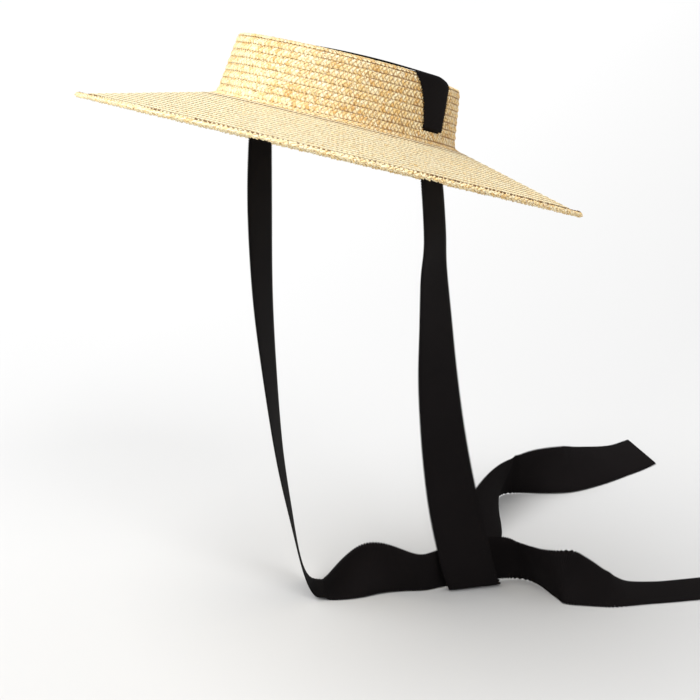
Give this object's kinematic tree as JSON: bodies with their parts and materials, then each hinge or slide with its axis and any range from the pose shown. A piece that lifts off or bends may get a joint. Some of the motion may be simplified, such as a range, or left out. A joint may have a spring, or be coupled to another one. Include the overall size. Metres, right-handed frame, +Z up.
{
  "type": "wide-brim straw sun hat",
  "caption": "Flat-crowned straw hat with a very wide, gently falling brim, and a long dark ribbon that crosses the crown and hangs down from a slit at each ear to lie on a surface.",
  "frame": {"origin": "where the head sits: the middle of the mouth of the crown, on the hat's own axis", "axes": "+Z straight up, -Y the way the wearer looks, +X towards the wearer's left; the hat itself is tilted back 18 degrees and 2.2 degrees to the wearer's left, as it is worn"},
  "size_m": [0.4302, 0.736, 0.5035],
  "materials": {
    "straw": "plaited natural straw, satin, sewn in narrow overlapping rows",
    "ribbon": "matte ribbed black ribbon with fine looped selvedges"
  },
  "bodies": {
    "root": {"crown_tip": "straw", "crown_wall": "straw", "brim": "straw", "brim_edge": "straw", "crown_ribbon": "ribbon", "left_tie": "ribbon", "right_tie": "ribbon"}
  },
  "joints": []
}
